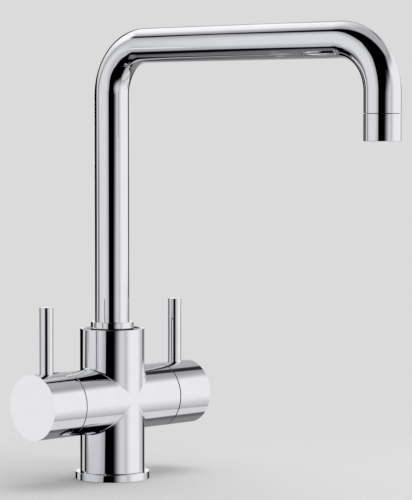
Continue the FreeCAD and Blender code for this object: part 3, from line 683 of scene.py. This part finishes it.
# %% Start a finish
class Finish:
    """A material with its shader and its Object coordinates."""

    def __init__(self, name, **constants):
        self.material = bpy.data.materials.new(name)
        self.material.use_nodes = True
        self.tree = self.material.node_tree
        self.shader = self.tree.nodes["Principled BSDF"]
        self.place = Wire(self.tree).node("TexCoord", output="Object")
        for socket, value in constants.items():
            self.shader.inputs[socket.replace("_", " ")].default_value = value

    def noise(self, scale, detail=2.0, roughness=0.5, stretch=(1, 1, 1)):
        """Soft noise from 0 to 1, stretched along the axes if asked."""
        where = self.place
        if stretch != (1, 1, 1):
            where = where.node("Mapping", None, {"Vector": where, "Scale": stretch})
        return where.node("TexNoise", None, {"Vector": where, "Scale": scale, "Detail": detail,
                                             "Roughness": roughness})

    def cells(self, scale):
        """Distance to scattered points, for specks and spots."""
        return self.place.node("TexVoronoi", None, {"Vector": self.place, "Scale": scale})

    def set(self, socket, wire):
        self.tree.links.new(wire.socket, self.shader.inputs[socket])

    def bump(self, height, depth):
        """Turns a height from 0 to 1 into a dent of a real depth in metres."""
        self.set("Normal", height.node("Bump", None,
                                       {"Strength": 1.0, "Distance": depth, "Height": height}))


# %% [markdown]
# ## Mirror chrome
#
# Chrome plate is a mirror with a cool grey of its own. What makes it look real is small: the
# polished casting under it is never quite flat, so there is a slow wave a few micrometres
# deep; wiping leaves fine hairlines; and dried drops leave faint rings that are a little
# rougher. Each of them is weak, because the real surface is clean and bright.

# %% Chrome
def chrome_plate():
    finish = Finish("chrome_plate", Metallic=1.0)
    wave = finish.noise(35, detail=1.0)
    hairs = finish.noise(900, detail=3.0, stretch=(1, 1, 0.03))
    cloud = finish.noise(60, detail=4.0, roughness=0.6)
    drops = finish.cells(140)
    drop_rings = drops.between(0.16, 0.2, 0.02) * cloud.step(0.56, 0.62)
    finish.set("Base Color", (0.7 * cloud + 0.3 * hairs).step(0.3, 0.7).mix(
        colour(0.785, 0.795, 0.817), colour(0.81, 0.82, 0.84)))
    finish.set("Roughness", 0.015 + 0.015 * cloud + 0.01 * hairs.step(0.6, 0.8)
               + 0.04 * drop_rings)
    finish.bump(wave, 0.006 * MM)
    return finish.material


# %% [markdown]
# ## The other finishes
#
# Inside and under the tap are brass, rubber, plastics, ceramic and steel. Machined brass shows
# the fine rings of the tool and dulls unevenly. Moulded rubber and plastic have a faint grain.
# Lapped ceramic is nearly even, with tiny dark pores. The insert in the spout's end carries a
# black, dull band of painted shade, which draws the line of shade in the narrow gap above the
# nozzle sleeve.

# %% Metals
def machined_brass(name="machined_brass", dark_band=None):
    """Turned brass, with a black band of painted shade between two heights if asked."""
    finish = Finish(name, Metallic=1.0)
    turning = finish.noise(2500, detail=1.0, stretch=(1, 0.02, 0.02))
    tarnish = finish.noise(120, detail=5.0, roughness=0.65)
    tone = tarnish.step(0.35, 0.7).mix(colour(0.80, 0.63, 0.33), colour(0.62, 0.45, 0.22))
    rough = 0.22 + 0.16 * tarnish + 0.08 * turning
    if dark_band:
        # The band is painted shade: black and dull where the narrow gap above the nozzle sleeve
        # lies in shade.
        height = finish.place.node("SeparateXYZ", None, {0: finish.place}, output="Z")
        painted_gap_shade = height.between(dark_band[0], dark_band[1], 0.1 * MM)
        tone = painted_gap_shade.mix(tone, colour(0.02, 0.02, 0.02))
        rough = rough + painted_gap_shade * (0.9 - rough)
        finish.set("Metallic", 1 - painted_gap_shade)
    finish.set("Base Color", tone)
    finish.set("Roughness", rough)
    finish.bump(turning, 0.01 * MM)
    return finish.material


def stainless_steel():
    finish = Finish("stainless_steel", Metallic=1.0)
    grain = finish.noise(1800, detail=2.0, stretch=(1, 0.05, 1))
    cloud = finish.noise(150, detail=3.0)
    finish.set("Base Color", cloud.mix(colour(0.55, 0.56, 0.58), colour(0.66, 0.67, 0.69)))
    finish.set("Roughness", 0.25 + 0.12 * grain + 0.05 * cloud)
    finish.bump(grain, 0.006 * MM)
    return finish.material


# %% Rubber, plastics and ceramic
def moulded(name, dark, light, rough, grain_deep=0.02):
    """A moulded finish: a cloudy colour, a grain and a few paler specks."""
    finish = Finish(name)
    grain = finish.noise(1500, detail=3.0)
    cloud = finish.noise(90, detail=3.0)
    specks = 1 - finish.cells(1100).step(0.12, 0.2)
    finish.set("Base Color", (0.7 * cloud + 0.2 * grain + 0.2 * specks).mix(dark, light))
    finish.set("Roughness", rough + 0.1 * grain + 0.06 * cloud)
    finish.bump(grain, grain_deep * MM)
    return finish.material


def lapped_ceramic():
    finish = Finish("lapped_ceramic")
    pores = 1 - finish.cells(2600).step(0.1, 0.2)
    cloud = finish.noise(200, detail=3.0)
    finish.set("Base Color", (0.6 * pores + 0.3 * cloud).mix(
        colour(0.90, 0.89, 0.86), colour(0.66, 0.65, 0.62)))
    finish.set("Roughness", 0.16 + 0.1 * cloud + 0.2 * pores)
    finish.bump(1 - pores, 0.004 * MM)
    return finish.material


FINISHES = {
    "chrome": chrome_plate(),
    "brass": machined_brass(),
    "steel": stainless_steel(),
    "ceramic": lapped_ceramic(),
    "rubber": moulded("moulded_rubber", colour(0.022, 0.022, 0.023),
                      colour(0.05, 0.05, 0.05), 0.55),
    "slip_plastic": moulded("white_slip_plastic", colour(0.82, 0.81, 0.77),
                            colour(0.90, 0.89, 0.86), 0.42),
    "glide_plastic": moulded("black_glide_plastic", colour(0.03, 0.03, 0.033),
                             colour(0.07, 0.07, 0.075), 0.38),
    "valve_plastic": moulded("grey_valve_plastic", colour(0.60, 0.61, 0.62),
                             colour(0.76, 0.77, 0.78), 0.3),
    "aerator_plastic": moulded("aerator_plastic", colour(0.55, 0.57, 0.59),
                               colour(0.68, 0.70, 0.72), 0.28, grain_deep=0.01),
    "tube_plastic": moulded("drinking_water_tube", colour(0.80, 0.83, 0.86),
                            colour(0.90, 0.92, 0.93), 0.32, grain_deep=0.01),
}

# %% [markdown]
# Each solid of the frame says in the record which finish it has, so the dressing is one loop. A
# new piece takes its finish from the slot that it was given.

# %% Dress every piece
def dress(piece, finish):
    piece.data.materials.clear()
    piece.data.materials.append(finish)


for row in frame["record"]["subparts"]:
    dress(frame["nodes"][row["node"]], FINISHES[row["material_slot"]])
# The spout's insert gets a band of painted shade where the gap above the nozzle sleeve lies.
dress(frame["nodes"]["nozzle_insert"],
      machined_brass("brass_with_painted_gap_shade", dark_band=(NOZZLE_TOP - MM, TUBE_END + MM)))
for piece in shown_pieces():
    if "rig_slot" in piece:
        dress(piece, FINISHES[piece["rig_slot"]])

# %% [markdown]
# ## The photographer's tent
#
# Chrome has almost no look of its own: it shows the studio. A photographer therefore stands it in
# a tent of white panels with black gaps between them, which draw the crisp dark lines along the
# tubes. The tent here is a large sphere that only reflections see. A place on it is given by
# two angles in degrees: its heading, 0 towards the photographer and positive to the right, and its
# height above the horizon. A panel lies between two headings and two heights, with edges as soft
# as asked. Headings meet at 180 degrees behind the tap, so a panel that reaches right round to
# there ends at a heading past it.

# %% Where a point of the tent lies
CAMERA_HEADING = math.radians(46.28)
FORWARD = Vector((math.sin(CAMERA_HEADING), math.cos(CAMERA_HEADING), 0))
RIGHT = Vector((math.cos(CAMERA_HEADING), -math.sin(CAMERA_HEADING), 0))
TENT_RAD = 1.6
TENT_MIDDLE = Vector((0, 0, 0.2))
DEGREES = 180 / math.pi
PAST_BACK = 200


def share_along(wire, direction):
    """How far a vector points along a direction."""
    return wire.node("VectorMath", {"operation": "DOT_PRODUCT"},
                     {0: wire, 1: tuple(direction)}, output="Value")


class Tent:
    """The tent's material, with a brightness that panels are laid over."""

    def __init__(self):
        self.material = bpy.data.materials.new("tent")
        self.material.use_nodes = True
        self.tree = self.material.node_tree
        self.tree.nodes.clear()
        sight = Wire(self.tree).node("TexCoord", output="Object")
        sight = sight.node("VectorMath", {"operation": "SUBTRACT"},
                           {0: sight, 1: tuple(TENT_MIDDLE)})
        sight = sight.node("VectorMath", {"operation": "NORMALIZE"}, {0: sight})
        self.right = share_along(sight, RIGHT)
        self.near = share_along(sight, -FORWARD)
        self.up = share_along(sight, Z_AXIS)
        self.heading = self.right.maths("ARCTAN2", self.right, self.near) * DEGREES
        self.height = self.up.maths("ARCSINE", self.up) * DEGREES
        self.level = self.up * 0

    def area(self, left, right, low, high, soft_side=1.5, soft_up=2.0):
        """1 inside a panel's four edges."""
        return (self.heading.between(left, right, soft_side)
                * self.height.between(low, high, soft_up))

    def lay(self, area, level):
        """Lays a panel of a given brightness over what is already there."""
        self.level = self.level + area * (level - self.level)


# %% [markdown]
# The right side is a wide white wall. It brightens from the black gap in front of it, has a faint
# joint, and dims towards the back and the ground. Below it lies a bright card, and a dim one
# at the back. Overhead is a grey ceiling, which ends in two slanting edges above the photographer
# and is brightest at the back. A panel may be laid over another: a black one stands before the
# wall's far end, and a small one hangs under the ceiling.

# %% Right wall and ceiling
def lay_right_wall(tent):
    heading, height = tent.heading, tent.height
    gap_edge = 4 + 23 * height.step(-20, 30)
    dark_band = 0.13 * heading.between(46, 55, 4)
    wall = 0.77 * heading.step(gap_edge, gap_edge + 29) + 0.24 * heading.step(54, 72)
    wall = wall - dark_band
    wall = wall * (1 - 0.6 * heading.step(128, 182)) * (0.55 + 0.45 * height.step(-44, -12))
    wall = wall * (1 - 0.36 * heading.step(104, 128) * height.between(-18, -6, 2))
    top = 20 + 16 * heading.step(44, 64)
    bottom = -30 - 14 * heading.step(16, 48)
    tent.lay(tent.area(4, PAST_BACK, bottom, top, soft_side=1, soft_up=11), wall)

    ground_card = (0.2 + 0.6 * heading.step(38, 84)) * (0.65 + 0.35 * height.step(-75, -50))
    tent.lay(tent.area(50, 131, -85, -39.5, soft_side=4, soft_up=1), ground_card)
    back_card = 0.15 + 0.12 * heading.step(138, 156) - 0.17 * heading.step(162, 182)
    tent.lay(tent.area(133, PAST_BACK, -60, -18), back_card)
    black_panel = tent.area(139.5, PAST_BACK, -18, 7, soft_up=3)
    tent.lay(black_panel, 0.04)


def lay_ceiling(tent):
    heading, height = tent.heading, tent.height
    front_edge = (0.135 * tent.up + 0.27 * tent.right - tent.near).step(-0.05, 0.05)
    left_edge = (0.36 * tent.up + 0.66 * tent.right - tent.near).step(-0.06, 0.06)
    back = (1 - heading.step(-140, -108)) + 0.7 * heading.step(132, 184)
    shine = 0.5 + 0.66 * back * (1 - height.step(40, 96))
    tent.lay(front_edge * left_edge * height.step(28, 46), shine)
    black_panel = tent.area(131, 148, 35, 43, soft_side=3)
    tent.lay(black_panel, 0.03)


# %% [markdown]
# On the left, towards the back, hangs a white card whose lower edge slants. Under it stand two
# narrow strips and a grey card near the ground. Two more cards stand right behind the tap: the
# upper one lights the flat tops of its rims.

# %% Cards on the left and behind
def lay_left_cards(tent):
    heading, height = tent.heading, tent.height
    foot = 32 - 22 * heading.step(-156, -134) - 4 * heading.step(-134, -116)
    top = 46 - 10 * heading.step(-118, -106)
    card = (0.75 + 0.4 * height.step(12, 36)) * (1 - 0.3 * heading.step(-111, -103))
    tent.lay(tent.area(-PAST_BACK, -100, foot, top, soft_up=3), card)

    slant = 22 * (1 - height.step(-20, -2))
    strip = 0.66 + 0.28 * height.step(-12, -4)
    tent.lay(tent.area(-119 - slant, -108 - 0.45 * slant, -19, 8), strip)
    tent.lay(tent.area(-106, -99, -22, 9), 0.27)
    tent.lay(tent.area(-PAST_BACK, -94, -56, -39, soft_side=3, soft_up=4), 0.19)


def lay_cards_behind(tent):
    heading, height = tent.heading, tent.height
    low_behind = (1 - heading.between(-165, 165, 4)) * height.between(-60, -3, 2)
    tent.lay(low_behind, 0.26 + 0.24 * height.step(-25, -19))
    behind = (1 - heading.between(-173, 173, 1.5)) * height.between(-2, 30, 1.5)
    tent.lay(behind, 0.98 - 0.44 * height.step(4, 8))


# %% [markdown]
# The left side itself is a large softbox, a little cool in colour and weaker towards its edges.
# Its inner edge leaves a black gap in front of the tap, which draws the dark line down every
# upright tube. A small white card before it faces the end of the left cap.

# %% Left softbox
def lay_softbox(tent):
    """Lays the softbox and gives its area, less the small card before it."""
    heading, height = tent.heading, tent.height
    inner_edge = -20 - 36 * (1 - height.step(-44, -5)) - 20 * height.step(33, 51)
    bottom = -36 + 10 * (1 - heading.step(-94, -80))
    top = 48 - 6 * (1 - heading.step(-92, -68))
    fade_from = -44 - 12 * (1 - height.step(-18, -6))
    back_edge = 1 - heading.step(-95, -83)
    box = 0.85 * (0.6 + 0.4 * (1 - heading.step(fade_from, -18)))
    box = box * (1 - back_edge * (0.24 + 0.34 * height.between(-8, 1, 2)))
    box = box * (0.72 + 0.28 * height.step(-22, -4)) * (1 - 0.35 * height.step(24, 47))
    softbox = tent.area(-99, inner_edge, bottom, top, soft_up=2.5)
    tent.lay(softbox, box)
    facing_cap = tent.area(-91.3, -87.4, -13.8, -9.2, soft_side=0.7, soft_up=0.7)
    tent.lay(facing_cap, 0.98)
    return softbox * (1 - facing_cap)


# %% [markdown]
# The panels' brightness becomes light through a Mix node, whose factor stops at 1. So the levels
# are divided by the brightest one, and the colours that they mix towards are that much brighter.

# %% The tent
BRIGHTEST = 1.2
WHITE = colour(BRIGHTEST, 1.18, 1.21)
COOL = colour(1.18, 1.185, 1.235)
BLACK = colour(0, 0, 0)


def tent_shader():
    tent = Tent()
    lay_right_wall(tent)
    lay_ceiling(tent)
    lay_left_cards(tent)
    lay_cards_behind(tent)
    softbox = lay_softbox(tent)
    light = (tent.level / BRIGHTEST).mix(BLACK, softbox.mix(WHITE, COOL))
    glow = light.node("Emission", None, {"Color": light, "Strength": 1.0})
    output = tent.tree.nodes.new("ShaderNodeOutputMaterial")
    tent.tree.links.new(glow.socket, output.inputs["Surface"])
    tent.material.cycles.emission_sampling = "NONE"
    return tent.material


tent_bm = bmesh.new()
bmesh.ops.create_uvsphere(tent_bm, u_segments=64, v_segments=32, radius=TENT_RAD,
                          matrix=Matrix.Translation(TENT_MIDDLE))
tent_piece = new_piece("tent", tent_bm)
dress(tent_piece, tent_shader())
for sort in ("camera", "diffuse", "transmission", "shadow", "volume_scatter"):
    setattr(tent_piece, f"visible_{sort}", False)
print("the tent's shader has", len(tent_piece.data.materials[0].node_tree.nodes), "nodes")

# %% [markdown]
# ## The floor
#
# A round pale table top that fades into the pale surroundings, so that there is no horizon. The
# fade is a Mix Shader between the paint and a Transparent shader, by distance from the middle.
# The table takes the tap's shadow, but it is hidden from reflections, so that the chrome shows
# only the tent. It lies a hair below the ring, so that the two don't share a plane.

# %% Floor
HAIR = 0.02 * MM
FLOOR_MIDDLE = Vector((0, -0.09, -HAIR))
FLOOR_SOLID, FLOOR_FADED = 0.22, 0.40
PALE = 0.71


def floor_paint():
    finish = Finish("pale_floor", Specular_IOR_Level=0.2)
    cloud = finish.noise(9, detail=4.0)
    finish.set("Base Color", cloud.mix(colour(0.675, 0.675, 0.68), colour(0.70, 0.70, 0.70)))
    finish.set("Roughness", 0.7 + 0.15 * cloud)
    offset = finish.place.node("VectorMath", {"operation": "DISTANCE"},
                               {0: finish.place, 1: tuple(FLOOR_MIDDLE)}, output="Value")
    clear = finish.place.node("BsdfTransparent")
    output = finish.tree.nodes["Material Output"]
    paint = Wire(finish.tree, finish.shader.outputs[0])
    faded_paint = offset.node("MixShader", None,
                              {0: offset.step(FLOOR_SOLID, FLOOR_FADED), 1: paint, 2: clear})
    finish.tree.links.new(faded_paint.socket, output.inputs["Surface"])
    return finish.material


floor_bm = bmesh.new()
bmesh.ops.create_circle(floor_bm, cap_ends=True, segments=96, radius=FLOOR_FADED,
                        matrix=Matrix.Translation(FLOOR_MIDDLE))
floor = new_piece("floor", floor_bm)
dress(floor, floor_paint())
floor.visible_glossy = False

# %% [markdown]
# ## Light
#
# The surroundings give an even pale light. Two soft area lamps add the direction: a large
# one overhead and a smaller one from the right. Reflections don't show the lamps, because the
# tent already stands for them.

# %% Surroundings and lamps
world = bpy.data.worlds.new("pale_surroundings")
world.use_nodes = True
world.node_tree.nodes["Background"].inputs["Color"].default_value = colour(PALE, PALE, PALE)
world.node_tree.nodes["Background"].inputs["Strength"].default_value = 1.0
bpy.context.scene.world = world


def soft_lamp(name, place, target, size, watts):
    data = bpy.data.lights.new(name, "AREA")
    data.shape = "SQUARE"
    data.size = size
    data.energy = watts
    lamp = bpy.data.objects.new(name, data)
    lamp.location = place
    lamp.rotation_euler = (target - place).to_track_quat("-Z", "Y").to_euler()
    lamp.visible_glossy = False
    bpy.context.scene.collection.objects.link(lamp)


middle = (frame_box[0] + frame_box[1]) / 2
soft_lamp("overhead", Vector((0.3, -0.2, 1.5)), middle, 0.9, 7.5)
soft_lamp("from_right", Vector((0.6, -1.3, 0.9)), middle, 0.6, 4.3)

# %% [markdown]
# ## The camera
#
# A long lens from a little above the handles. Its place was found from the tap's own
# proportions: the ellipses of the caps, the slope of the arm and the trunk's width.

# %% Camera
CAMERA_PLACE = Vector((-1277.2, -1318.1, 264.65)) * MM
CAMERA_DIP = math.radians(2.945)
camera_data = bpy.data.cameras.new("camera")
camera_data.lens = 177.72
camera_data.sensor_width = 36
camera = bpy.data.objects.new("camera", camera_data)
camera.location = CAMERA_PLACE
camera.rotation_euler = (math.pi / 2 - CAMERA_DIP, 0, -CAMERA_HEADING)
bpy.context.scene.collection.objects.link(camera)
bpy.context.scene.camera = camera
bpy.context.scene.view_settings.view_transform = "Standard"
